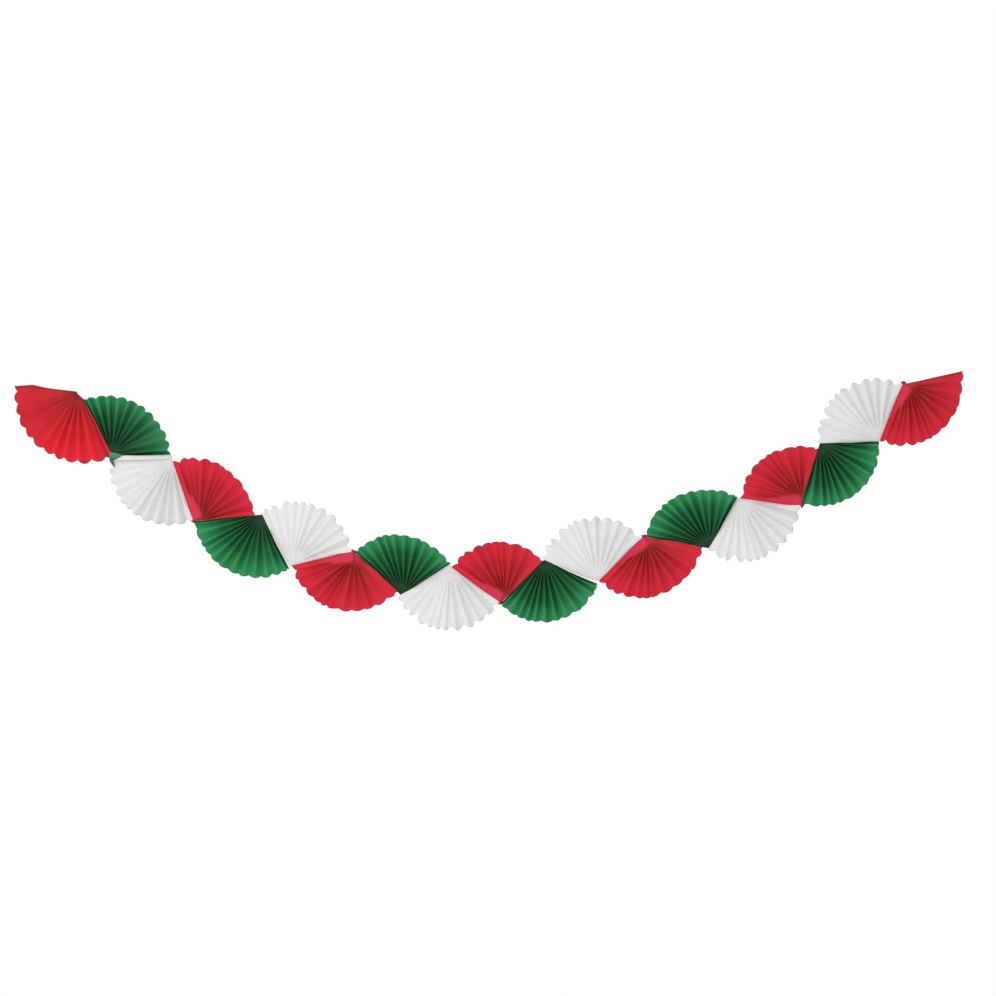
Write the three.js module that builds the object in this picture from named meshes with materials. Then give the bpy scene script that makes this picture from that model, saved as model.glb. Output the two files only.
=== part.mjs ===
// Tissue paper fan garland hung in a swag: pleated fans in red, green and white, each glued to
// the next along a whole leaf, opening downwards and upwards in turn so that the corners zigzag.
// Millimetres. X runs along the garland, Y from front to back, Z up. The origin is on the flat
// outside of the first fan's free leaf, where the garland is hung.
import * as THREE from 'three';

// One leaf is the strip of paper between two folds.
const leafLength = 145;       // fan corner to scallop tip
const paperThickness = 0.35;  // thicker than real tissue, so that each fan is a sound solid

// The corner, where the leaves of a fan are gathered and glued.
const cornerDepth = 2;        // thickness of the glued corner
const shoulderReach = 46;     // corner to where the folds have their full depth
const foldPitch = 1.6;        // least degrees between neighbouring folds there
const leafDepth = 18;         // front fold to back fold in the deep pleats of red and green

// How the fans meet and hang.
const glueGap = 0.3;          // glue line between the end leaves of neighbouring fans
const cornerClearance = 1.2;  // from the tip of an end leaf to the neighbour's corner
const hangReach = 72;         // first corner to the point where the free leaf is fixed

// How each colour is folded and cut. A back fold is given in degrees from a fan's first seam, with its
// share of the depth and, where it isn't notchDepth, the depth of the notch after it. A front fold
// lies midway between each two. Scallop tips lie on the back folds and notches on the front ones,
// unless tipsForward. shoulderDepth and rimDepth are measured from front fold to back fold.
// roundness is 1 for a pointed scallop and 2 for a parabola.
const red = {
  name: 'red',
  colour: 0xc4202f,
  backFolds: [
    [10, 0.45], [17.2, 0.4, 6.5], [29.4, 0.85], [39, 0.65, 3], [46.7, 0.55, 2.5], [53.1, 0.6],
    [68.2, 0.85, 2.5], [80.6, 0.8, 2], [92.6, 0.9, 2.5], [104.5, 1, 5.5], [118.5, 0.6],
  ],
  shoulderDepth: leafDepth,
  rimDepth: 10,
  notchDepth: 4,
  roundness: 2,
  tipsForward: false,
  seamsForward: true,
};
const green = {
  name: 'green',
  colour: 0x1c7547,
  backFolds: [
    [2, 0.6], [13, 0.5], [21, 0.9], [28.2, 0.8], [36, 0.95], [46.2, 1], [56.9, 1], [66, 0.7],
    [77.6, 0.85], [87.2, 0.6, 6], [99, 0.8], [108.4, 0.6],
  ],
  shoulderDepth: leafDepth,
  rimDepth: 9,
  notchDepth: 4,
  roundness: 2,
  tipsForward: false,
  seamsForward: false,
};
const white = {
  name: 'white',
  colour: 0xf0efec,
  backFolds: [
    [12.7, 0.5, 7.5], [20.1, 0.45, 16], [33.1, 0.5, 7.5], [40.8, 0.45, 7], [47.7, 0.5, 7.5],
    [55.3, 0.85, 11.5], [66.4, 0.95, 11], [78, 1], [88.2, 0.95, 8.5], [101.4, 1],
  ],
  shoulderDepth: 8,
  rimDepth: 14,
  notchDepth: 10,
  roundness: 1.4,
  tipsForward: false,
  seamsForward: true,
};
const papers = [red, green, white];

// The first three fans are folded in their own way.
const firstPapers = [
  {
    ...red,
    backFolds: [
      [4, 0.35], [15.2, 0.4], [26, 0.45], [37.8, 0.6], [49.4, 0.5], [61.3, 0.6], [72, 0.7],
      [82, 0.9], [92.4, 0.95], [104.6, 1], [116, 0.9],
    ],
    notchDepth: 8,
    tipsForward: true,
  },
  {
    ...green,
    backFolds: [
      [5, 1], [16.2, 1], [25.5, 0.95], [38.2, 0.85], [47.5, 1], [59.5, 0.55], [69.5, 1],
      [81.3, 0.8], [95, 0.35], [104.8, 0.6],
    ],
    notchDepth: 6,
  },
  {
    ...white,
    backFolds: [
      [4, 0.5], [15.2, 0.45], [23, 0.45, 13], [35, 0.5], [42.4, 0.45], [49, 0.5], [56.4, 0.85],
      [66.8, 0.95], [77.4, 1], [86.6, 0.95], [98, 1],
    ],
    notchDepth: 8,
  },
];

const foldRoom = 3;           // degrees from a seam to the nearest back fold that a fan keeps
const seamFoldShare = 0.55;   // where the front fold beside a seam lies, on the way to a back fold

// Seams from left to right: slope in degrees above level, and how far the two glued leaves are
// slid apart along each other, so that each fan's corner stands that much past the other's leaf.
// The free leaves at both ends have a slope only.
const freeSlopes = [-5.5, 10.5];
const seams = [
  [-63.2, 19], [0, -4], [-71.3, 17], [5.5, 17], [-62, -6], [13.5, 6],
  [-43, 2], [30.5, -8], [-36.5, 2], [44.5, -1], [-21.5, -11], [43.5, 4],
  [-10.5, 8], [59.5, -8], [-6, 7], [74, 6], [2, -3], [68.5, 1],
];

// Fans from left to right: how far the first, middle and last leaves reach past leafLength.
const rims = [
  [8, 15.5, 24], [2, -8, -10], [0, 17, 14], [5, -1, -4], [17.5, 9.5, -4], [2, 11, 1], [4, -4, -6],
  [0, -5, -6], [0, 8, -1], [-2, -1, -7], [4, 2.5, -6.5], [-3, 4, -3], [5.5, -3, -5.5], [6, -4, -7],
  [-4, 7, 0], [1, -3, -9], [5, 1, -8], [3, 6.5, -5], [6, -2.5, -5],
];

// Fans from left to right: the point that the folds aim at, along and square to the first seam.
const aims = [
  [-9, -6], [8, 3], [-5, 10], [-3, 14], [1, 0], [0, 0], [-3, 11], [-13, 6], [-1, -3], [-2, 14],
  [-3, 1], [-6, -7], [-3, 10], [-6, 8], [-6, -4], [0, 14], [-6, -4], [3, -3], [-3, 10],
];

// Fans from left to right: how far all the folds are turned from the first seam, in degrees, and how
// much they are spread.
const turns = [
  [0, 1], [0, 1], [0, 1], [0, 1], [0, 1], [-7.4, 0.97], [0.2, 1], [3.5, 1.06], [0, 1], [1.5, 1],
  [1.7, 1], [-0.2, 1], [2.5, 1], [2.8, 1.04], [0.4, 1], [1.8, 1], [-1.1, 1], [-1, 1], [0.2, 1],
];

// Rounding of a scallop: shares of a leaf's width from its tip, between tip and notch.
const scallopStops = [0.35, 0.6, 0.82];

const radians = THREE.MathUtils.degToRad;
const cornerFront = new THREE.Vector3(0, -cornerDepth / 2, 0);
const cornerBack = new THREE.Vector3(0, cornerDepth / 2, 0);
const shoulderSphere = new THREE.Sphere(new THREE.Vector3(), shoulderReach);

function polar(radius, angle) {
  return new THREE.Vector3(radius * Math.cos(angle), 0, radius * Math.sin(angle));
}

function atDepth(place, y) {
  return new THREE.Vector3(place.x, y, place.z);
}

function planDistance(a, b) {
  return Math.hypot(a.x - b.x, a.z - b.z);
}

// Value at a share of the way on the parabola through a first, middle and last value.
function parabola([first, middle, last], share) {
  const rest = 1 - share;
  return first * rest * (rest - share) + middle * 4 * share * rest + last * share * (share - rest);
}

// Paper thickness measured front to back, where a leaf slants from one fold to the next.
function slantThickness(a, b) {
  return paperThickness * a.distanceTo(b) / planDistance(a, b);
}

function frontFold(angle, cut) {
  return { angle, share: 0, cut, isFront: true };
}

function backFold(angle, cut, share) {
  return { angle, share, cut, isFront: false };
}

// The folds of a fan in order, with the crease of each at the shoulder and at the rim. The fan's
// corner is the origin, its first leaf lies along X, and it opens towards Z.
function planFolds({ paper, opening, aim, turn: [turn, spread], rim, limits }) {
  const { notchDepth } = paper;
  const room = radians(foldRoom);
  const backs = paper.backFolds
    .map(([angle, share, cut = notchDepth]) => backFold(radians(angle * spread + turn), cut, share))
    .filter(({ angle }) => angle > room && angle < opening - room);
  const between = backs.slice(1).map(({ angle }, k) => {
    const before = backs[k];
    return frontFold((angle + before.angle) / 2, before.cut);
  });
  const inner = [...backs, ...between].sort((a, b) => a.angle - b.angle);
  if (!paper.tipsForward) {
    inner.unshift(frontFold(seamFoldShare * inner[0].angle, notchDepth));
    inner.push(frontFold(opening - seamFoldShare * (opening - inner.at(-1).angle), notchDepth));
  }
  const seamFold = (angle) => (
    paper.seamsForward ? frontFold(angle, notchDepth) : backFold(angle, notchDepth, 1)
  );
  const folds = [seamFold(0), ...inner, seamFold(opening)];
  const last = folds.length - 1;

  // A fold runs straight from the rim towards the aim, as far as its shoulder, where it keeps its
  // pitch from the folds on both sides.
  function shoulderAngle(tipRim, k) {
    const ray = new THREE.Ray(aim, tipRim.clone().sub(aim).normalize());
    const crossing = ray.intersectSphere(shoulderSphere, new THREE.Vector3());
    const angle = Math.atan2(crossing.z, crossing.x);
    const pitch = radians(foldPitch);
    return THREE.MathUtils.clamp(angle, k * pitch, opening - (last - k) * pitch);
  }

  return folds.map(({ angle, share, cut, isFront }, k) => {
    const isSeam = k === 0 || k === last;
    const isTip = k % 2 === 0;
    const limit = isSeam ? limits[k === 0 ? 0 : 1] : Infinity;
    const reach = leafLength + Math.min(limit, parabola(rim, angle / opening));
    const tipRim = polar(reach, angle);
    const shoulder = polar(shoulderReach, isSeam ? angle : shoulderAngle(tipRim, k));
    return {
      isTip,
      isFront,
      cut,
      tipRim,
      shoulder: atDepth(shoulder, (share - 0.5) * paper.shoulderDepth),
      rim: atDepth(polar(isTip ? reach : reach - cut, angle), (share - 0.5) * paper.rimDepth),
    };
  });
}

// Both sides of the paper along every fold, at the corner, the shoulder and the rim: outer faces
// the front and inner the back. An end leaf at each seam comes before and after the folds.
function paperSides(fan) {
  const plan = planFolds(fan);
  const corner = { outer: cornerFront, inner: cornerBack };

  const folds = plan.map((fold, k) => {
    const sides = { isTip: fold.isTip, cut: fold.cut, tipRim: fold.tipRim, corner };
    for (const station of ['shoulder', 'rim']) {
      const crease = fold[station];
      const beside = [plan[k - 1], plan[k + 1]].filter(Boolean);
      const thick = Math.max(...beside.map((other) => slantThickness(crease, other[station])));
      const through = atDepth(crease, crease.y + (fold.isFront ? thick : -thick));
      sides[station] = {
        outer: fold.isFront ? crease : through,
        inner: fold.isFront ? through : crease,
      };
    }
    return sides;
  });

  // An end leaf stands in the plane of its seam, so its inside is one thickness into the fan.
  function standEnd(k, next, inward) {
    const fold = plan[k];
    const onSeam = fold.isFront ? 'outer' : 'inner';
    const inside = fold.isFront ? 'inner' : 'outer';
    const step = inward.multiplyScalar(paperThickness);
    const far = fold.isFront ? cornerBack : cornerFront;
    const end = { isTip: false, cut: fold.cut, tipRim: fold.tipRim, corner: { outer: far, inner: far } };
    for (const station of ['shoulder', 'rim']) {
      const crease = fold[station];
      const beside = plan[next][station];
      const slope = (beside.y - crease.y) / planDistance(crease, beside);
      folds[k][station][inside].add(step).y += slope * paperThickness;

      const foot = atDepth(crease, 0);
      foot.setLength(foot.length() - (station === 'rim' ? fold.cut : 0)).setY(-crease.y);
      end[station] = { [onSeam]: foot, [inside]: foot.clone().add(step) };
    }
    return end;
  }
  const last = folds.length - 1;
  const firstEnd = standEnd(0, 1, new THREE.Vector3(0, 0, 1));
  const lastEnd = standEnd(last, last - 1, polar(1, fan.opening - Math.PI / 2));
  return [firstEnd, ...folds, lastEnd];
}

// Scalloped end of one leaf between its two folds, on both sides of the paper.
function leafEnd(left, right, roundness) {
  const tip = left.isTip ? left : right;
  const notch = left.isTip ? right : left;
  const stops = scallopStops.map((share) => {
    const stop = {};
    for (const face of ['outer', 'inner']) {
      const tipReach = atDepth(tip.rim[face], 0).length();
      const fall = notch.cut * share ** roundness;
      const reach = tipReach + (notch.tipRim.length() - tipReach) * share - fall;
      const across = tip.rim[face].clone().lerp(notch.rim[face], share);
      stop[face] = atDepth(atDepth(across, 0).setLength(reach), across.y);
    }
    return stop;
  });
  return left.isTip ? stops : stops.reverse();
}

// One fan as a closed sheet. A fan that opens upwards mirrors one that opens downwards.
function fanGeometry(fan) {
  const folds = paperSides(fan);
  const soup = [];

  function triangle(a, b, c) {
    if (a === b || b === c || c === a) {
      return;
    }
    for (const point of fan.upwards ? [a, c, b] : [a, b, c]) {
      soup.push(point.x, point.y, fan.upwards ? -point.z : point.z);
    }
  }
  // A flat ring of points, fanned out from one of them.
  function patch(ring, pivot, flipped) {
    for (let i = 1; i < ring.length - 1; i += 1) {
      const b = ring[(pivot + i) % ring.length];
      const c = ring[(pivot + i + 1) % ring.length];
      triangle(ring[pivot], flipped ? c : b, flipped ? b : c);
    }
  }

  for (let k = 0; k < folds.length - 1; k += 1) {
    const left = folds[k];
    const right = folds[k + 1];
    const edge = [left.rim, ...leafEnd(left, right, fan.paper.roundness), right.rim];
    for (const face of ['outer', 'inner']) {
      const flipped = face === 'inner';
      const near = [left.corner[face], left.shoulder[face], right.shoulder[face], right.corner[face]];
      const leaf = [left.shoulder[face], ...edge.map((stop) => stop[face]), right.shoulder[face]];
      patch(near, 0, flipped);
      patch(leaf, left.isTip ? leaf.length - 1 : 0, flipped);
    }
    for (let j = 0; j < edge.length - 1; j += 1) {
      patch([edge[j].outer, edge[j].inner, edge[j + 1].inner, edge[j + 1].outer], 0, false);
    }
  }

  const ends = [folds[0], folds.at(-1)];
  ends.forEach(({ corner, shoulder, rim }, k) => {
    patch([corner.outer, corner.inner, shoulder.inner, shoulder.outer], 0, k === 1);
    patch([shoulder.outer, shoulder.inner, rim.inner, rim.outer], 0, k === 1);
  });

  const geometry = new THREE.BufferGeometry();
  geometry.setAttribute('position', new THREE.Float32BufferAttribute(soup, 3));
  geometry.computeVertexNormals();
  return geometry;
}

// Half the glue line is left free on both seams of a fan by moving it along its middle.
function glueShift({ opening, upwards }) {
  return polar(glueGap / 2 / Math.sin(opening / 2), upwards ? -opening / 2 : opening / 2);
}

const garland = new THREE.Group();
garland.name = 'garland';

const slopes = [freeSlopes[0], ...seams.map(([slope]) => slope), freeSlopes[1]].map(radians);
const slides = [Infinity, ...seams.map(([, slide]) => slide), Infinity];

const hangAngle = slopes[0] + Math.PI;
const corner = polar(hangReach, hangAngle).add(polar(glueGap / 2, hangAngle + Math.PI / 2)).negate();

rims.forEach((rim, i) => {
  const paper = firstPapers[i] ?? papers[i % papers.length];
  const opening = Math.PI - Math.abs(slopes[i + 1] - slopes[i]);
  const fan = {
    paper,
    opening,
    rim,
    aim: new THREE.Vector3(aims[i][0], 0, aims[i][1]),
    turn: turns[i],
    // Leaves that are slid together are cut short to stay clear of the neighbour's corner.
    limits: [slides[i] - cornerClearance, slides[i + 1] - cornerClearance],
    upwards: i % 2 === 1,
  };

  const geometry = fanGeometry(fan);
  const shift = glueShift(fan);
  geometry.translate(shift.x, 0, shift.z);
  const material = new THREE.MeshStandardMaterial({ color: paper.colour, roughness: 0.85, metalness: 0 });
  const mesh = new THREE.Mesh(geometry, material);
  mesh.name = `fan_${String(i + 1).padStart(2, '0')}_${paper.name}`;
  mesh.rotation.y = -(slopes[i] + Math.PI);
  mesh.position.copy(corner);
  garland.add(mesh);

  if (i < seams.length) {
    corner.add(polar(leafLength + slides[i + 1], slopes[i + 1]));
  }
});

export default garland;
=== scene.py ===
import bpy
import numpy as np
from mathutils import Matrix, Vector


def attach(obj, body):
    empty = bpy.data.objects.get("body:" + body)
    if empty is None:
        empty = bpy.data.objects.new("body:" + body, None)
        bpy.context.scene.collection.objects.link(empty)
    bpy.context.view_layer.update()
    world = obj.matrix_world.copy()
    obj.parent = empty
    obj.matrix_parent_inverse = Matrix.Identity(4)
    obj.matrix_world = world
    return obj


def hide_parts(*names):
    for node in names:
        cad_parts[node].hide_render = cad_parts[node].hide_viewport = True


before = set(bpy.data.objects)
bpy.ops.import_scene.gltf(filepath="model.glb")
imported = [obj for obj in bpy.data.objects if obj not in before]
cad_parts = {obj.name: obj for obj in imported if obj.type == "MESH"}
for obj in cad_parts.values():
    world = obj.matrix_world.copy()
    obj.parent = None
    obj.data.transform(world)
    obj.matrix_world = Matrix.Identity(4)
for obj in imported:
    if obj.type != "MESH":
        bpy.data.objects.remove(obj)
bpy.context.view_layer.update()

scene = bpy.context.scene
scene.view_settings.view_transform = "Standard"
mm = 0.001
print("frame loaded:", len(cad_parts), "nodes")

# how the garland hangs, with the seams and lengths of the solids: slopes in degrees, lengths in mm
swag = {
    "freeSlopes": (-5.5, 10.5),  # the two free end leaves
    "seams": [  # slope, and how far the glued leaves are slid apart
        (-63.2, 19), (0, -4), (-71.3, 17), (5.5, 17), (-62, -6), (13.5, 6),
        (-43, 2), (30.5, -8), (-36.5, 2), (44.5, -1), (-21.5, -11), (43.5, 4),
        (-10.5, 8), (59.5, -8), (-6, 7), (74, 6), (2, -3), (68.5, 1),
    ],
    "rims": [  # how far the first, middle and last leaves of a fan reach past leafLength
        (8, 15.5, 24), (2, -9, -7.5), (-3, 17.5, 14), (4, -0.5, -2), (17.5, 8.5, -4), (2, 11, 1),
        (2.5, -4, -6), (0, -4.5, -5), (0, 8, -1), (-3.5, -2.5, -6.5), (3, 1.5, -7), (-5.5, 4, -3),
        (4, -3, -6), (5, -3, -4.5), (-4, 8, 1), (2, -3, -9.5), (4, 1, -8), (3, 6.5, -5), (4, -2.5, -5),
    ],
    # by number of the fan: more reach before its middle, less after it
    "sways": {4: 2, 7: 2, 8: 2.5, 13: 2, 14: 3, 16: 1.5, 19: 2.5},
    "aims": [  # where the folds of a fan aim, along and square to its first seam
        (4, 0), (3, 1), (0, 10), (-5, 11), (6, 0), (4, 3), (2, 12), (-9, 4), (0, 0), (-2, 13),
        (1, -1), (-2, -2), (2, 11), (-3, 4), (-2, 1), (2, 12), (0, -2), (4, 0), (2, 10),
    ],
    "foldTurns": [  # how far all the folds of a fan are turned, in degrees, and how much they are spread
        (1.7, 1), (1.2, 1), (1.8, 1), (1.9, 1), (2, 1), (-4.4, 0.98), (2.2, 1), (5.8, 1.054),
        (3.5, 0.98), (2.7, 1), (3.4, 1), (2, 1.015), (5.2, 0.977), (3, 1.045), (2.8, 1), (2.1, 1.015),
        (0.2, 0.98), (0.2, 1.015), (3.1, 0.967),
    ],
    "rimTurns": [  # the same for the scallops
        (0.7, 1), (0.6, 1), (0.5, 1), (0.5, 1), (0, 1), (-8.2, 0.99), (0.2, 1), (3.5, 1.06),
        (0, 1), (1.5, 1), (1.7, 1), (-0.2, 1), (2.5, 1), (2.8, 1.04), (0.4, 1), (1.8, 1),
        (-1.1, 1), (-1, 1), (0.2, 1),
    ],
    "bowPlaces": (0.2, 0.5, 0.8),  # shares of a seam
    "bows": [  # how far it bows towards the next fan there
        (0.5, 3, 1), (-0.5, -0.5, -1.5), (-2.5, -2, -2.5), (0.5, -0.5, -0.5), (-3, -5.5, -5.5),
        (-3, -3, -3.5), (1.5, 4, 2.5), (2, -0.5, -2), (-2, -2, -1.5), (1.5, 1, 0), (-2.5, -6, -7.5),
        (2, 0.5, -2), (0.5, 3, 0.5), (1, -1, -1.5), (-0.5, -2.5, -4), (-4, -3, -2), (-1.5, -3, -1.5),
        (-3, -3, -3),
    ],
    "parted": {5: 0.7, 11: 0.7},  # seams where the next fan's leaf follows only so far, and a gap shows
    "freeWaves": [  # the two free leaves: mm from the corner, and how far out they stand from straight
        ((0, 14, 70, 90, 112, 126, 150), (1.5, 3, 4, 6, 8.6, 6.2, 2)),
        ((0, 40, 75, 110, 140), (-3.2, -2.4, -0.9, 0.3, 1.4)),
    ],
    "waveFolds": 3,  # bows and waves fade out over so many folds
    "leafLength": 145.0,
    "clearance": 1.2,  # end leaf to the neighbour's corner
    "hangReach": 72.0,  # first corner to the fixing point, which is the origin
    "glueGap": 0.3,
    "seed": 40,  # of the first fan's unevenness, the other fans count on from here
}
colourNames = ("red", "green", "white")

# back folds in degrees from a fan's first seam, and their share of the full depth
backFolds = {
    "red": [
        (4, 0.6), (12.5, 0.45), (18.3, 0.4), (28.8, 0.85), (40, 0.65), (47.3, 0.55), (54.8, 0.6),
        (68.8, 0.85), (81.8, 0.8), (94, 0.75), (108.5, 0.5),
    ],
    "green": [
        (1.8, 0.8), (12.8, 0.85), (21.2, 0.95), (28.2, 0.85), (37.2, 0.95), (47.2, 1), (58.2, 1),
        (69.2, 0.7), (79.8, 0.85), (90.8, 0.6), (102.2, 0.8),
    ],
    "white": [
        (10, 0.5), (19.6, 0.45), (30.9, 0.5), (40.2, 0.45), (47.1, 0.5), (55.8, 0.85), (67, 0.95),
        (78.8, 1), (89.2, 0.95), (102, 1.1),
    ],
    "first": [
        (7, 0.28), (17.8, 0.35), (29.2, 0.45), (40.2, 0.35), (51.8, 0.5), (64.2, 0.65), (74.2, 0.9),
        (86.2, 1), (97.8, 1.05), (111, 1),
    ],
    "second": [
        (4.8, 1), (16.2, 1.1), (25.8, 0.95), (39.2, 0.85), (47.8, 1), (57.2, 0.55), (68.8, 0.9),
        (81.8, 0.6), (91.8, 0.3), (104.2, 0.5),
    ],
    "third": [
        (3.8, 0.5), (14.2, 0.45), (24.2, 0.45), (35.8, 0.5), (43.8, 0.45), (50.2, 0.5), (58.2, 0.85),
        (68.8, 0.95), (78.8, 1), (88.2, 0.95), (99.2, 1.1),
    ],
    # least degrees from the first seam, and from the last one
    "room": (3.0, {"red": 6.0, "green": 3.0, "white": 3.0}),
}
# scallop tips in degrees from a fan's first seam, and the depth of the notch after each
scallops = {
    "red": [
        (10, 4.5), (17.2, 8), (29.4, 4), (39, 3), (46.7, 3), (53.1, 5), (68.2, 4), (80.6, 3.5),
        (92.6, 4), (104.5, 6), (118.5, 4),
    ],
    "green": [
        (2, 4), (13, 4), (21, 4), (28.2, 4), (36, 4), (46.2, 4), (56.9, 4), (66, 4), (77.6, 4),
        (87.2, 6), (99, 4), (108.4, 4),
    ],
    "white": [
        (12.7, 11), (19.6, 20), (32.5, 9.5), (40.8, 9), (47.7, 10), (55.3, 13), (66.4, 12.5),
        (78, 11.5), (88.2, 9.5), (101.4, 10),
    ],
    "first": [
        (9.4, 8), (20.8, 8), (31.6, 8), (43.7, 8), (54.8, 8), (67.2, 8), (76.4, 9.5), (87.1, 9),
        (98.2, 10), (111, 8),
    ],
    "second": [
        (5, 6), (16.2, 6), (25.5, 6), (38.2, 6), (47.5, 6), (59.5, 6), (69.5, 6), (81.3, 6),
        (95, 6), (104.8, 6),
    ],
    "third": [
        (4, 8), (15.2, 8), (23, 14), (35, 8), (42.4, 8), (49, 8), (56.4, 8), (66.8, 8), (77.4, 8),
        (86.6, 8), (98, 8),
    ],
    "firstNotch": {"red": 8.0, "green": 4.0, "white": 10.0},  # before the first tip
}


def polar(radius, angle):
    return np.stack([radius * np.cos(angle), radius * np.sin(angle)], axis=-1)  # x, z


def smooth(low, high, value):
    t = np.clip((value - low) / (high - low), 0, 1)  # 0 below low, 1 above high, S-curve between
    return t * t * (3 - 2 * t)


# how far a fan's first and last leaves stand out from straight: mm from its corner, and mm outwards
def edgeWaves(i):
    def bowed(seam, bow):  # half as far at the corner itself
        along = np.array((0, *swag["bowPlaces"])) * (swag["leafLength"] + swag["seams"][seam][1])
        return along, np.array((bow[0] / 2, *bow))

    first, last = swag["freeWaves"]
    if i > 0:
        follow = swag["parted"].get(i, 1)
        first = bowed(i - 1, [-follow * bow for bow in reversed(swag["bows"][i - 1])])
    if i < len(swag["seams"]):
        last = bowed(i, swag["bows"][i])
    return first, last


# where every fan sits: corner, direction of its first leaf, opening and the reach of its leaves
def layFans():
    firstSlope, lastSlope = swag["freeSlopes"]
    slopes = np.radians([firstSlope] + [slope for slope, _ in swag["seams"]] + [lastSlope])
    slides = [np.inf] + [slide for _, slide in swag["seams"]] + [np.inf]
    hang = slopes[0] + np.pi
    corner = -polar(swag["hangReach"], hang) - polar(swag["glueGap"] / 2, hang + np.pi / 2)
    fans = []
    for i in range(len(slopes) - 1):
        colour = colourNames[i % 3]
        opening = np.pi - abs(slopes[i + 1] - slopes[i])
        kind = ("first", "second", "third")[i] if i < 3 else colour
        back, share = np.transpose(backFolds[kind])
        turn, spread = swag["foldTurns"][i]
        back = back * spread + turn
        tip, cut = np.transpose(scallops[kind])
        turn, spread = swag["rimTurns"][i]
        tip = tip * spread + turn
        near, far = backFolds["room"]
        foldsKept = (back > near) & (back < np.degrees(opening) - far[colour])
        tipsKept = (tip > near) & (tip < np.degrees(opening) - near)
        fans.append({
            "number": i + 1,
            "node": f"fan_{i + 1:02d}_{colour}",
            "kind": kind,
            "colour": colour,
            "corner": corner,
            "heading": slopes[i] + np.pi,
            "opening": opening,
            "back": np.radians(back[foldsKept]),
            "share": share[foldsKept],
            "tips": np.concatenate([[0], np.radians(tip[tipsKept]), [opening]]),
            "cuts": np.concatenate([[scallops["firstNotch"][colour]], cut[tipsKept]]),
            "aim": np.array(swag["aims"][i], dtype=float),
            "turned": i % 2 == 1,
            "rim": swag["rims"][i],
            "sway": swag["sways"].get(i + 1, 0),
            "ends": (slides[i] - swag["clearance"], slides[i + 1] - swag["clearance"]),
            "waves": edgeWaves(i),
            "seed": swag["seed"] + i,
        })
        if i < len(swag["seams"]):
            corner = corner + polar(swag["leafLength"] + swag["seams"][i][1], slopes[i + 1])
    return fans


# one fan, in mm
pleat = {
    "depth": {"red": 17.0, "green": 22.0, "white": 18.0, "first": 20.0},
    "scallop": {"red": 2.0, "green": 2.0, "white": 1.8},  # 1 is a pointed tip, 2 a round one
    "ring": 20.0,  # the folds start on an arc so far round the corner, and the corner itself is flat
    "crowd": 1.6,  # least degrees between two folds on that arc
    "cornerRows": 4,
    "tip": 1.0,  # the corner's own small radius
    "blunt": (8.0, 15.0),  # the first fan's corner is cut across so far along its first and last leaves
    "tail": (4.0, 5.0),  # gathered ends of the red leaves past the corner: length and half width
    "cornerDepth": 0.6,
    "fullDepth": 34.0,  # from the arc to where the folds have their full depth
    "rimFlat": {"red": 0.3, "green": 0.5, "white": 0.3},  # share of the depth lost at the rim
    "flatFrom": {"red": 0.5, "green": 0.7, "white": 0.35},  # share of the leaf where that starts
    "growth": {"red": 0.0, "green": 0.0, "white": 0.8},  # share of the depth that grows towards the rim
    "seamSide": {"red": 1, "green": -1, "white": 0.4},  # a seam's fold at the front, 1, or back, -1
    "besideSeam": 0.55,  # where the front fold beside a seam lies, on the way from a back fold
    "crisp": (0.995, 0.05),  # how sharp the folds are at the gather, and how much they lose at the rim
    "softFrom": 0.5,  # share of the leaf where that starts
    "leanFrom": 0.75,  # share of the leaf from where its tip leans out or back
    "paper": 0.2,
    "glueLine": 0.02,
    "perLeaf": 8,  # columns to a leaf
    "rows": 34,
    "rowPower": 0.9,  # below 1 the rows lie closer at the rim
    "edge": 3.0,  # the cut edge, a row of its own
    # spread of the random values to a fold: degrees at the rim, mm, share of the depth, mm at the tip
    "uneven": {"angle": 0.5, "reach": 0.8, "depth": 0.05, "lean": 1.2},
}
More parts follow.
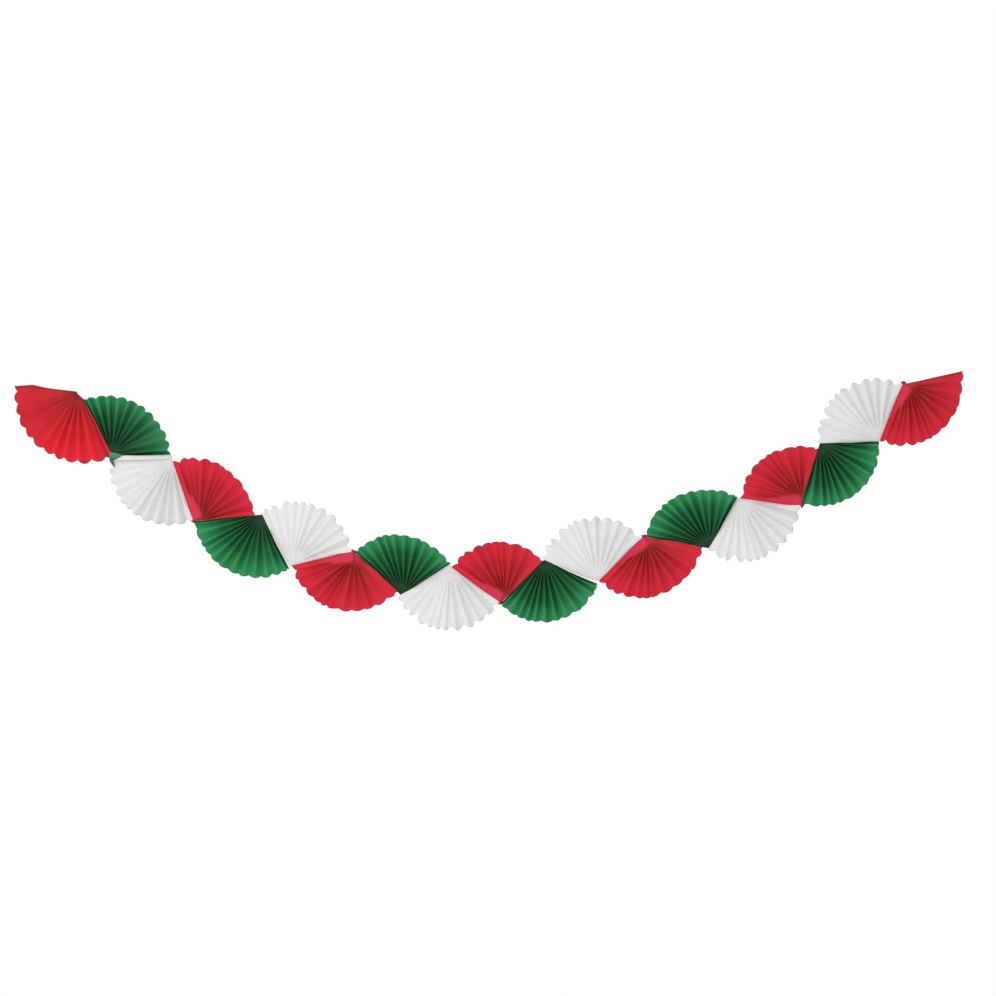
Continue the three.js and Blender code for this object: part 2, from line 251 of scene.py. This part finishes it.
# painted light and shade in red, green and blue, by mm from the corner: painted shade where the leaves
# crowd
paintedShading = {
    "radius": (0, 14, 24, 46, 70, 98, 125),
    "red": [
        (0.85, 0.76, 0.5, 0.81, 0.86, 0.92, 1.03),
        (1.9, 1.6, 0.9, 1.6, 1.35, 1, 1.1),
        (1.7, 1.35, 0.55, 1, 0.9, 0.8, 1.2),
    ],
    "first": [
        (0.29, 0.36, 0.54, 1, 1.02, 1.04, 1.1),
        (0.6, 0.68, 0.8, 1.6, 1.35, 0.93, 0.95),
        (0.36, 0.42, 0.5, 1, 0.88, 0.74, 0.9),
    ],
    "second": [
        (0.3, 0.24, 0.23, 0.55, 0.53, 0.66, 1),
        (0.3, 0.24, 0.2, 0.43, 0.55, 0.7, 1.02),
        (0.27, 0.22, 0.19, 0.42, 0.52, 0.68, 1.02),
    ],
    "green": [
        (0.2, 0.21, 0.23, 0.55, 0.46, 0.56, 1.06),
        (0.18, 0.19, 0.21, 0.52, 0.65, 0.76, 1.16),
        (0.17, 0.18, 0.19, 0.45, 0.54, 0.7, 1.1),
    ],
    "white": [(0.95, 0.94, 0.94, 0.97, 1, 1, 1)] * 3,
    "third": [(0.9, 0.89, 0.89, 0.92, 0.93, 0.93, 0.93)] * 3,
    # darker along the cut edge, in red, green and blue
    "edge": {"red": (0.45, 0.85, 1.2), "green": (0.7, 0.58, 0.68), "white": (0.8, 0.8, 0.8)},
    "crease": {  # highlight painted on the front folds and shade painted in the back folds
        "red": (0.1, -0.12, -0.03), "green": (0.6, 0.06, 0.2), "white": (0.05, 0.05, 0.05),
        "first": (0.26, -0.06, 0.1), "second": (0.7, 0.12, 0.28), "third": (0.1, 0.1, 0.1),
    },
    "creaseFrom": (20.0, 50.0),  # mm from the corner where that starts and where it is full
    "creaseAcross": {"first": (0.3, 0.8), "white": (0.1, 0.6)},  # the same across a fan, as shares of it
    "sweep": {"first": (0.9, 1.2), "second": (1.02, 0.82)},  # painted light and shade, growing from a fan's first leaves to its last ones
    "sweepAcross": (0.3, 0.8),
    "lastSeam": (0.4, 23.0, 9.0),  # a patch of painted light on the reds: how much, how far out, how wide
    "lastSeamAcross": (0.6, 0.8),
    "lines": {"free": 0.5, "red": 0.8, "first": 0.4, "second": 2.0},  # painted shade along free edges and seams, and painted light where above 1
    "lineWidth": 0.25,  # of a leaf
    "besideSeam": 0.35,  # the first fan's painted shade line lies so much of a leaf inside its seam
    "firstRow": {"red": (0.3, 1.4, 0.9), "first": (0.5, 0.9, 0.7)},  # painted shade on the reds' gathered ends and on the first fan's cut corner
}


def paintedShadingByRadius(fan, radius):
    channels = paintedShading.get(fan["kind"], paintedShading[fan["colour"]])
    return np.stack([np.interp(radius, paintedShading["radius"], channel) for channel in channels], axis=-1)


# moves the leaves at both edges by the fan's waves, less and less from fold to fold
def waveEdges(fan, plan, radius, inside, last):
    edges = (inside, -np.pi / 2), (last - inside, fan["opening"] + np.pi / 2)
    for (along, lift), (fromEdge, outward) in zip(fan["waves"], edges):
        fade = np.clip(1 - fromEdge / swag["waveFolds"], 0, 1)[:, None]
        plan = plan + (np.interp(radius, along, lift) * fade)[..., None] * polar(1, outward)
    return plan


# the folds in order: angle at the rim, angle on the arc round the corner, and the side, from 1 at the
# front to -1 at the back
def foldPlan(fan):
    back, opening = fan["back"], fan["opening"]
    inner = np.sort(np.concatenate([back, (back[1:] + back[:-1]) / 2]))
    firstBack, seamSide = 1, 1
    if fan["number"] > 1:  # the first fan's tips stand forward, so its leaves start at the seams
        beside = pleat["besideSeam"]
        inner = np.concatenate([[beside * back[0]], inner, [opening - beside * (opening - back[-1])]])
        firstBack, seamSide = 2, pleat["seamSide"][fan["colour"]]
    angle = np.concatenate([[0], inner, [opening]])
    order = np.arange(angle.size)
    side = np.ones(angle.size)
    side[firstBack:-1:2] = 1 - 2 * fan["share"]
    side[[0, -1]] = seamSide

    # a fold runs straight from the rim to the fan's aim, as far as the arc
    along = polar(swag["leafLength"], angle) - fan["aim"]
    along /= np.linalg.norm(along, axis=-1, keepdims=True)
    closest = along @ fan["aim"]
    run = np.sqrt(closest ** 2 - fan["aim"] @ fan["aim"] + pleat["ring"] ** 2) - closest
    onArc = fan["aim"] + along * run[:, None]
    crowd = np.radians(pleat["crowd"])
    arc = np.clip(np.arctan2(onArc[:, 1], onArc[:, 0]), order * crowd, opening - order[::-1] * crowd)
    arc[[0, -1]] = 0, opening
    return angle, arc, side


# how far the rim falls short of its tips: a notch lies midway between two tips, and the fall goes with a
# power of the way from tip to notch
def scallopFall(fan, angle):
    tips = fan["tips"]
    between = np.clip(np.searchsorted(tips, angle, side="right") - 1, 0, tips.size - 2)
    way = (angle - tips[between]) / (tips[between + 1] - tips[between])
    return fan["cuts"][between] * (1 - abs(2 * way - 1)) ** pleat["scallop"][fan["colour"]]


# from front fold to back fold, so far along a leaf
def foldDepth(fan, along, v):
    colour = fan["colour"]
    deepening = pleat["depth"].get(fan["kind"], pleat["depth"][colour]) - pleat["cornerDepth"]
    depth = pleat["cornerDepth"] + deepening * smooth(0, pleat["fullDepth"], along)
    growth = pleat["growth"][colour]
    rimward = 1 - pleat["rimFlat"][colour] * smooth(pleat["flatFrom"][colour], 1, v)
    return depth * rimward * (1 - growth + growth * v)


# an open leaf lies flat and forward beside the first seam: its width by mm along the seam
openLeaves = {
    "red": {
        "along": (0, 7, 12, 28, 49, 75, 100, 117),
        "width": (15, 19, 21.5, 21, 16, 8.5, 3.5, 0.8),
        "soft": (0.65, 1.3),  # shares of the width between which it rises
        "lean": 0.24,  # slant of its end at the corner
        "lift": 0.8,
        # painted sheen on the open leaf, in red, green and blue
        "paintedShading": (1.12, 1.88, 2.0),
        "pale": 30.0,  # painted sheen strongest as far as this from the corner
        "shadow": 0,
    },
    "third": {
        "along": (0, 6, 20, 60, 110, 130),
        "width": (2, 5, 9, 10, 11, 12),
        "soft": (0.85, 1.05),
        "lean": 0,
        "lift": 1.0,
        # painted light on the open leaf, in red, green and blue
        "paintedShading": (1.02, 1.02, 1.02),
        "pale": 120.0,
        "shadow": 0.3,  # the painted shadow line under its edge
    },
}
openEdge = {
    "start": 3.0,  # mm over which it rises at the corner
    "seam": (-1.5, -0.3),  # mm across the seam
    "line": (1.15, 0.15),  # where the painted shadow line lies and how wide it is, in widths of the leaf
}


# 1 on the open leaf and 0 on the folded ones, its painted sheen, and the painted shadow line along its
# edge
def openLeaf(fan, plan):
    spec = openLeaves[fan["kind"]]
    s, q = plan[..., 0], plan[..., 1]
    across = q / np.interp(s, spec["along"], spec["width"])
    ended = smooth(0, openEdge["start"], s - spec["lean"] * q) * (s < spec["along"][-1])
    ended = ended * smooth(*openEdge["seam"], q)
    flat = ended * (1 - smooth(*spec["soft"], across))
    fading = smooth(spec["pale"], spec["along"][-1], s)[..., None]
    place, width = openEdge["line"]
    line = 1 - spec["shadow"] * ended * np.exp(-((across - place) / width) ** 2)
    return flat, fading + (1 - fading) * np.array(spec["paintedShading"]), line


def bluntCorner(fan, arc):  # distance to the straight cut across the corner, by angle
    a, b = pleat["blunt"]
    return a * b * np.sin(fan["opening"]) / (b * np.sin(fan["opening"] - arc) + a * np.sin(arc))


# how far the leaves reach past leafLength, by share of the opening: a parabola through the first, middle
# and last leaf, and the sway
def rimReach(fan, share):
    first, mid, end = fan["rim"]
    reach = first * (1 - share) * (1 - 2 * share)
    reach = reach + mid * 4 * share * (1 - share)
    reach = reach + end * share * (2 * share - 1)
    return reach + fan["sway"] * np.sin(2 * np.pi * share)


# painted light and shade of the folded leaves, by mm from the corner, share of the opening and side of
# the fold
def paintedFoldShading(fan, radius, share, side, onEdge):
    kind = fan["kind"]
    shade = paintedShadingByRadius(fan, radius) * np.where(onEdge[..., None], paintedShading["edge"][fan["colour"]], 1)
    before, after = paintedShading["sweep"].get(kind, (1, 1))
    across = paintedShading["creaseAcross"].get(kind, (-1, 0))  # the other kinds have it everywhere
    creased = side * smooth(*paintedShading["creaseFrom"], radius) * smooth(*across, share)
    shade = shade * (before + (after - before) * smooth(*paintedShading["sweepAcross"], share))[..., None]
    return shade * (1 + creased[..., None] * paintedShading["crease"][kind])


# painted shade and painted light lines along the outer folds: which fold, and how dark or light
def seamLines(fan, last):
    lines = {
        1: [(0, "free"), (last - paintedShading["besideSeam"], "first")],
        2: [(last, "second")],
        19: [(0, "red"), (last, "free")],
    }
    chosen = lines.get(fan["number"], [(0, "red")] if fan["kind"] == "red" else [])
    return [(place, paintedShading["lines"][name]) for place, name in chosen]


# the reds' patch of painted light, the first row's painted shade and the painted lines along the seams
def markSeams(fan, shade, radius, share, w, last):
    if fan["kind"] == "red":
        gain, place, width = paintedShading["lastSeam"]
        patch = gain * np.exp(-((radius - place) / width) ** 2) * smooth(*paintedShading["lastSeamAcross"], share)
        shade = shade * (1 + patch)[..., None]
    if fan["kind"] in paintedShading["firstRow"]:
        shade[:, 0] = paintedShading["firstRow"][fan["kind"]]
    for place, strength in seamLines(fan, last):
        line = np.exp(-((w - place) / paintedShading["lineWidth"]) ** 2)
        shade = shade * (1 - (1 - strength) * line)[:, None, None]
    return shade


# A fan's sheet is a function of w across the folds and v along a leaf: w counts the folds, and one
# more leaf at each end stands in the plane of the seam. Each fold runs from the flat corner to the
# arc and straight on to the rim, and depth swings from front to back between folds.
def fanSheet(fan):
    rng = np.random.default_rng(fan["seed"])
    foldAngle, foldArc, foldSide = foldPlan(fan)
    last = foldAngle.size - 1
    w = np.linspace(-1, last + 1, (last + 2) * pleat["perLeaf"] + 1)
    v = np.linspace(0, 1, pleat["rows"] - 1) ** pleat["rowPower"]
    v = v * (1 - pleat["edge"] / swag["leafLength"])
    v = np.concatenate([np.zeros(pleat["cornerRows"]), v, [1]])[None, :]
    hub = np.linspace(0, 1, pleat["cornerRows"], endpoint=False)
    hub = np.append(hub, np.ones(pleat["rows"]))[None, :]  # share of the way from corner to arc
    count = np.arange(last + 1)
    inside = np.clip(w, 0, last)
    leaf = np.clip(np.floor(w), 0, last - 1).astype(int)
    turn = np.clip(w - leaf, 0, 1)[:, None]

    def perFold(values):  # a value to a fold, drawn straight across the leaves
        return np.interp(inside, count, values)[:, None]

    def uneven(what):  # one random value to a fold, none at the seams
        values = rng.normal(0, pleat["uneven"][what], last + 1)
        values[[0, -1]] = 0
        return perFold(values)

    angle = perFold(foldAngle) + np.radians(uneven("angle"))
    share = angle / fan["opening"]
    limit = np.full(last + 1, swag["leafLength"])
    limit[[0, -1]] = np.minimum(fan["ends"], swag["leafLength"])
    past = np.minimum(rimReach(fan, share), perFold(limit))  # end leaves stop short of the next corner
    reach = swag["leafLength"] + past + uneven("reach") - scallopFall(fan, perFold(foldAngle))
    rim = polar(reach, angle)

    arc = perFold(foldArc)
    near = bluntCorner(fan, arc) if fan["number"] == 1 else pleat["tip"]
    start = polar(near + (pleat["ring"] - near) * hub, arc)
    if fan["kind"] == "red":  # the first row becomes the gathered ends
        long, wide = pleat["tail"]
        middle = fan["opening"] / 2
        off = wide * (arc / middle - 1)
        start[:, 0] = polar(-long, middle) + off * polar(1, middle + np.pi / 2)
    plan = start + (rim - start) * v[..., None]

    along = np.linalg.norm(plan - start, axis=-1)
    depth = foldDepth(fan, along, v) * (1 + uneven("depth"))
    sharp, loss = pleat["crisp"]
    crisp = sharp - loss * smooth(pleat["softFrom"], 1, v)
    swing = 0.5 - np.arcsin(crisp * np.cos(np.pi * turn)) / np.arcsin(crisp) / 2  # 0 to 1 across a leaf
    side = foldSide[leaf][:, None] + (foldSide[leaf + 1] - foldSide[leaf])[:, None] * swing
    wall = np.maximum(np.maximum(-w, w - last), 0)[:, None]  # 0 to 1 down an end leaf
    y = -depth / 2 * (side - (np.sign(side) + side) * wall)
    y = y + uneven("lean") * smooth(pleat["leanFrom"], 1, v)

    radius = np.linalg.norm(plan, axis=-1)
    # painted shade where the leaves crowd and in the back folds, painted highlight on the front folds
    shade = paintedFoldShading(fan, radius, share, side, v == 1)
    if fan["kind"] in openLeaves:
        flat, paintedSheen, line = openLeaf(fan, plan)
        flat = flat * (wall == 0)
        y = y + (-depth / 2 - openLeaves[fan["kind"]]["lift"] - y) * flat
        # the open leaf takes its painted sheen, and a painted shadow line runs along its edge
        shade = (shade + (paintedSheen - shade) * flat[..., None]) * line[..., None]
    shade = markSeams(fan, shade, radius, share, w, last)

    inset = pleat["paper"] / 2 + pleat["glueLine"]  # glued leaves lie close together
    plan = plan + polar(inset / np.sin(fan["opening"] / 2), fan["opening"] / 2)
    plan = waveEdges(fan, plan, radius, inside, last)
    points = np.stack([plan[..., 0], y, plan[..., 1]], axis=-1)
    across = np.broadcast_to(w[:, None] * pleat["depth"][fan["colour"]], y.shape)
    return points, np.stack([across, radius], axis=-1), shade


# the second fan's loose corner hangs down over the third: its two edges in mm from the second fan's
# corner, from the fold down to the point
looseCorner = {
    "down": (0, 0.55, 1),  # shares of the way, for the two edges and the painted light and shade
    "left": ((-5.4, 9.4), (-4.5, -12), (8, -28)),
    "right": ((29, 0.9), (5, -11.5), (9, -28)),
    "depth": (-9.0, -11.0),
    "bulge": 0.8,
    # light painted near the fold and shade painted towards the point, in red, green and blue
    "paintedShading": ((4.2, 1.15, 2.0), (1.6, 0.5, 0.75), (1.0, 0.3, 0.5)),
    "flatSize": (20, 40),
    "columns": 12,
    "rows": 16,
}


# The loose corner is a function of p from edge to edge and t from the fold to the point.
def cornerSheet(fan):
    spec = looseCorner
    p = np.linspace(0, 1, spec["columns"])[:, None]
    t = np.broadcast_to(np.linspace(0, 1, spec["rows"]), (spec["columns"], spec["rows"]))

    def down(values):  # one value to each place in "down", for every t
        columns = np.transpose(values)
        return np.stack([np.interp(t, spec["down"], column) for column in columns], axis=-1)

    plan = fan["corner"] + down(spec["left"]) * (1 - p)[..., None] + down(spec["right"]) * p[..., None]
    top, bottom = spec["depth"]
    y = top + (bottom - top) * t - np.sin(np.pi * p) * spec["bulge"]
    points = np.stack([plan[..., 0], y, plan[..., 1]], axis=-1)
    wide, long = spec["flatSize"]
    return points, np.stack([p * wide + 0 * t, t * long], axis=-1), down(spec["paintedShading"])


def gridFaces(columns, rows, offset):
    a = np.arange(columns - 1)[:, None] * rows + np.arange(rows - 1)[None, :] + offset
    return np.stack([a, a + rows, a + rows + 1, a + 1], axis=-1).reshape(-1, 4)


# opens a fan upwards or downwards, swings it to its heading and hangs it at its corner
def hangFan(points, fan):
    x, y, z = points[..., 0], points[..., 1], points[..., 2]
    if fan["turned"]:
        z = -z
    c, s = np.cos(fan["heading"]), np.sin(fan["heading"])
    return np.stack([x * c - z * s + fan["corner"][0], y, x * s + z * c + fan["corner"][1]], axis=-1)


def makeFan(fan, material):
    points, uv, shade = fanSheet(fan)
    sheets = [(hangFan(points, fan), uv, shade)]
    if fan["kind"] == "second":
        sheets.append(cornerSheet(fan))
    verts = np.concatenate([points.reshape(-1, 3) for points, _, _ in sheets]) * mm
    uvs = np.concatenate([uv.reshape(-1, 2) for _, uv, _ in sheets]) * mm
    shades = np.concatenate([shade.reshape(-1, 3) for _, _, shade in sheets])
    grids = [points.shape[:2] for points, _, _ in sheets]
    starts = np.cumsum([0] + [columns * rows for columns, rows in grids])
    faces = np.concatenate([gridFaces(*grid, start) for grid, start in zip(grids, starts)])
    mesh = bpy.data.meshes.new(fan["node"] + "_paper")
    mesh.from_pydata(verts.tolist(), [], faces.tolist())
    layer = mesh.uv_layers.new(name="leaf")
    layer.data.foreach_set("uv", uvs[faces.ravel()].astype(np.float32).ravel())
    # the painted light and shade go on the sheet as a colour attribute
    paintedLightAndShade = mesh.attributes.new("paintedLightAndShade", "FLOAT_COLOR", "POINT")
    paintedLightAndShade.data.foreach_set("color", np.insert(shades, 3, 1, axis=1).astype(np.float32).ravel())
    mesh.polygons.foreach_set("use_smooth", np.ones(len(faces), dtype=bool))
    mesh.materials.append(material)
    piece = bpy.data.objects.new(fan["node"] + "_paper", mesh)
    scene.collection.objects.link(piece)
    wall = piece.modifiers.new("paper", "SOLIDIFY")
    wall.thickness = pleat["paper"] * mm
    wall.offset = 0
    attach(piece, "root")
    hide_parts(fan["node"])


# dyed tissue: base colour, the light that comes through it and how much does, darkest and lightest dye
tissue = {
    "red": {
        "base": (0.75, 0.029, 0.059),
        "through": (0.8, 0.04, 0.065),
        "passing": 0.35,
        "mottle": (0.86, 1.1),
        "bump": 0.35,
    },
    "green": {
        "base": (0.022, 0.263, 0.088),
        "through": (0.025, 0.27, 0.09),
        "passing": 0.08,
        "mottle": (0.84, 1.12),
        "bump": 0.35,
    },
    "white": {
        "base": (0.905, 0.904, 0.9),
        "through": (0.905, 0.904, 0.9),
        "passing": 0.3,
        "mottle": (0.97, 1.01),
        "bump": 0.2,
    },
}
# the grain that all of them have
grain = {
    "cloud": {"Scale": 38, "Detail": 5},  # uneven dye, a few centimetres across
    "fibre": {"Scale": 1, "Detail": 4},
    "fibreScale": (2600, 420, 1),  # across the leaf and along it
    "crinkle": {"Scale": 170, "Detail": 3, "Distortion": 0.6},  # soft wrinkles of handled tissue
    "dyePlaces": (0.25, 0.75),  # where the dye is darkest and lightest
    "fibreInDye": 0.45,  # shares of fibre, the rest is cloud or crinkle
    "fibreInRelief": 0.3,
    "relief": 0.0012,  # metres
    "paper": {"Roughness": 0.85, "Specular IOR Level": 0.5},
}


def tissuePaper(name, look):
    material = bpy.data.materials.new(name + "_tissue")
    material.use_nodes = True
    nodes, links = material.node_tree.nodes, material.node_tree.links
    nodes.clear()

    def node(kind, inputs=(), **settings):
        made = nodes.new(kind)
        for key, value in settings.items():
            setattr(made, key, value)
        for key, value in dict(inputs).items():
            made.inputs[key].default_value = value
        return made

    coords = node("ShaderNodeTexCoord")
    cloud = node("ShaderNodeTexNoise", grain["cloud"])
    links.new(coords.outputs["Object"], cloud.inputs["Vector"])

    stretch = node("ShaderNodeMapping", {"Scale": grain["fibreScale"]})  # fibres lie along the leaf
    links.new(coords.outputs["UV"], stretch.inputs["Vector"])
    fibre = node("ShaderNodeTexNoise", grain["fibre"])
    links.new(stretch.outputs["Vector"], fibre.inputs["Vector"])

    crinkle = node("ShaderNodeTexNoise", grain["crinkle"])
    links.new(coords.outputs["Object"], crinkle.inputs["Vector"])

    tint = node("ShaderNodeValToRGB")
    ramp = zip(tint.color_ramp.elements, grain["dyePlaces"], look["mottle"])
    for element, place, strength in ramp:
        element.position = place
        element.color = tuple(min(1, c * strength) for c in look["base"]) + (1,)
    mottle = node("ShaderNodeMix", {0: grain["fibreInDye"]}, data_type="FLOAT")
    links.new(cloud.outputs["Fac"], mottle.inputs[2])
    links.new(fibre.outputs["Fac"], mottle.inputs[3])
    links.new(mottle.outputs[0], tint.inputs["Fac"])

    paintedLightAndShade = node("ShaderNodeAttribute", attribute_name="paintedLightAndShade")  # the painted light and shade on the sheet
    # the painted light and shade multiply the dyed tint
    toned = node("ShaderNodeMix", {0: 1}, data_type="RGBA", blend_type="MULTIPLY", clamp_result=True)
    links.new(tint.outputs["Color"], toned.inputs[6])
    links.new(paintedLightAndShade.outputs["Color"], toned.inputs[7])

    relief = node("ShaderNodeMix", {0: grain["fibreInRelief"]}, data_type="FLOAT")
    links.new(crinkle.outputs["Fac"], relief.inputs[2])
    links.new(fibre.outputs["Fac"], relief.inputs[3])
    bump = node("ShaderNodeBump", {"Strength": look["bump"], "Distance": grain["relief"]})
    links.new(relief.outputs[0], bump.inputs["Height"])

    paper = node("ShaderNodeBsdfPrincipled", grain["paper"])
    links.new(toned.outputs[2], paper.inputs["Base Color"])
    links.new(bump.outputs["Normal"], paper.inputs["Normal"])
    glow = node("ShaderNodeBsdfTranslucent", {"Color": look["through"] + (1,)})
    links.new(bump.outputs["Normal"], glow.inputs["Normal"])
    sheet = node("ShaderNodeMixShader", {"Fac": look["passing"]})
    links.new(paper.outputs["BSDF"], sheet.inputs[1])
    links.new(glow.outputs["BSDF"], sheet.inputs[2])
    output = node("ShaderNodeOutputMaterial")
    links.new(sheet.outputs["Shader"], output.inputs["Surface"])
    return material


fans = layFans()
papers = {name: tissuePaper(name, look) for name, look in tissue.items()}
for fan in fans:
    makeFan(fan, papers[fan["colour"]])
print("fans hung:", len(fans))

# the photograph looks straight at the garland
view = {
    "centre": (1.0493, 0.0, -0.2523),
    "frameWidth": 2.3306,
    "lens": 135.0,
    "sensor": 36.0,
    "farthest": 100.0,
}
camera = bpy.data.objects.new("camera", bpy.data.cameras.new("camera"))
camera.data.lens = view["lens"]
camera.data.sensor_width = view["sensor"]
camera.data.clip_end = view["farthest"]
distance = view["frameWidth"] * view["lens"] / view["sensor"]
camera.location = (view["centre"][0], view["centre"][1] - distance, view["centre"][2])
camera.rotation_euler = (np.pi / 2, 0, 0)
scene.collection.objects.link(camera)
scene.camera = camera
print("camera at", tuple(round(v, 3) for v in camera.location))

# soft studio: an even bright room, one broad lamp from the left, and a pale floor well below
studio = {
    "room": 0.68,
    "lamp": {"place": (-1.2, -3.4, 0.2), "size": 2.6, "watts": 48},
    "floorDrop": 1.5,
    "floorSize": (5.0, 3.0),
    "floorColour": (0.8, 0.8, 0.79, 1),
    "floorRoughness": 0.9,
}


def lightRoom():
    world = bpy.data.worlds.new("room")
    scene.world = world
    world.use_nodes = True
    nodes, links = world.node_tree.nodes, world.node_tree.links
    nodes.clear()
    path = nodes.new("ShaderNodeLightPath")
    seen = nodes.new("ShaderNodeMath")
    seen.operation = "MAXIMUM"
    links.new(path.outputs["Is Camera Ray"], seen.inputs[0])
    links.new(path.outputs["Is Glossy Ray"], seen.inputs[1])
    shown = nodes.new("ShaderNodeMath")
    shown.operation = "MAXIMUM"
    links.new(seen.outputs[0], shown.inputs[0])
    links.new(path.outputs["Is Transmission Ray"], shown.inputs[1])
    light = nodes.new("ShaderNodeBackground")
    light.inputs["Strength"].default_value = studio["room"]
    white = nodes.new("ShaderNodeBackground")
    white.inputs["Strength"].default_value = 1
    for background in (light, white):
        background.inputs["Color"].default_value = (1, 1, 1, 1)
    mix = nodes.new("ShaderNodeMixShader")
    links.new(shown.outputs[0], mix.inputs["Fac"])
    links.new(light.outputs[0], mix.inputs[1])
    links.new(white.outputs[0], mix.inputs[2])
    output = nodes.new("ShaderNodeOutputWorld")
    links.new(mix.outputs[0], output.inputs["Surface"])


def hangLamp():
    spec = studio["lamp"]
    lamp = bpy.data.lights.new("broadLamp", "AREA")
    lamp.shape = "DISK"
    lamp.size = spec["size"]
    lamp.energy = spec["watts"]
    piece = bpy.data.objects.new("broadLamp", lamp)
    piece.location = np.add(view["centre"], spec["place"])
    toward = Vector(view["centre"]) - piece.location
    piece.rotation_euler = toward.to_track_quat("-Z", "Y").to_euler()
    scene.collection.objects.link(piece)


def layFloor():
    wide, deep = np.array(studio["floorSize"]) / 2
    x, _, z = view["centre"]
    z -= studio["floorDrop"]
    mesh = bpy.data.meshes.new("floor")
    left, right = x - wide, x + wide
    corners = [(left, -deep, z), (right, -deep, z), (right, deep, z), (left, deep, z)]
    mesh.from_pydata(corners, [], [(0, 1, 2, 3)])
    material = bpy.data.materials.new("paleFloor")
    material.use_nodes = True
    shader = material.node_tree.nodes["Principled BSDF"]
    shader.inputs["Base Color"].default_value = studio["floorColour"]
    shader.inputs["Roughness"].default_value = studio["floorRoughness"]
    mesh.materials.append(material)
    floor = bpy.data.objects.new("floor", mesh)
    scene.collection.objects.link(floor)


lightRoom()
hangLamp()
layFloor()
print("studio lit")
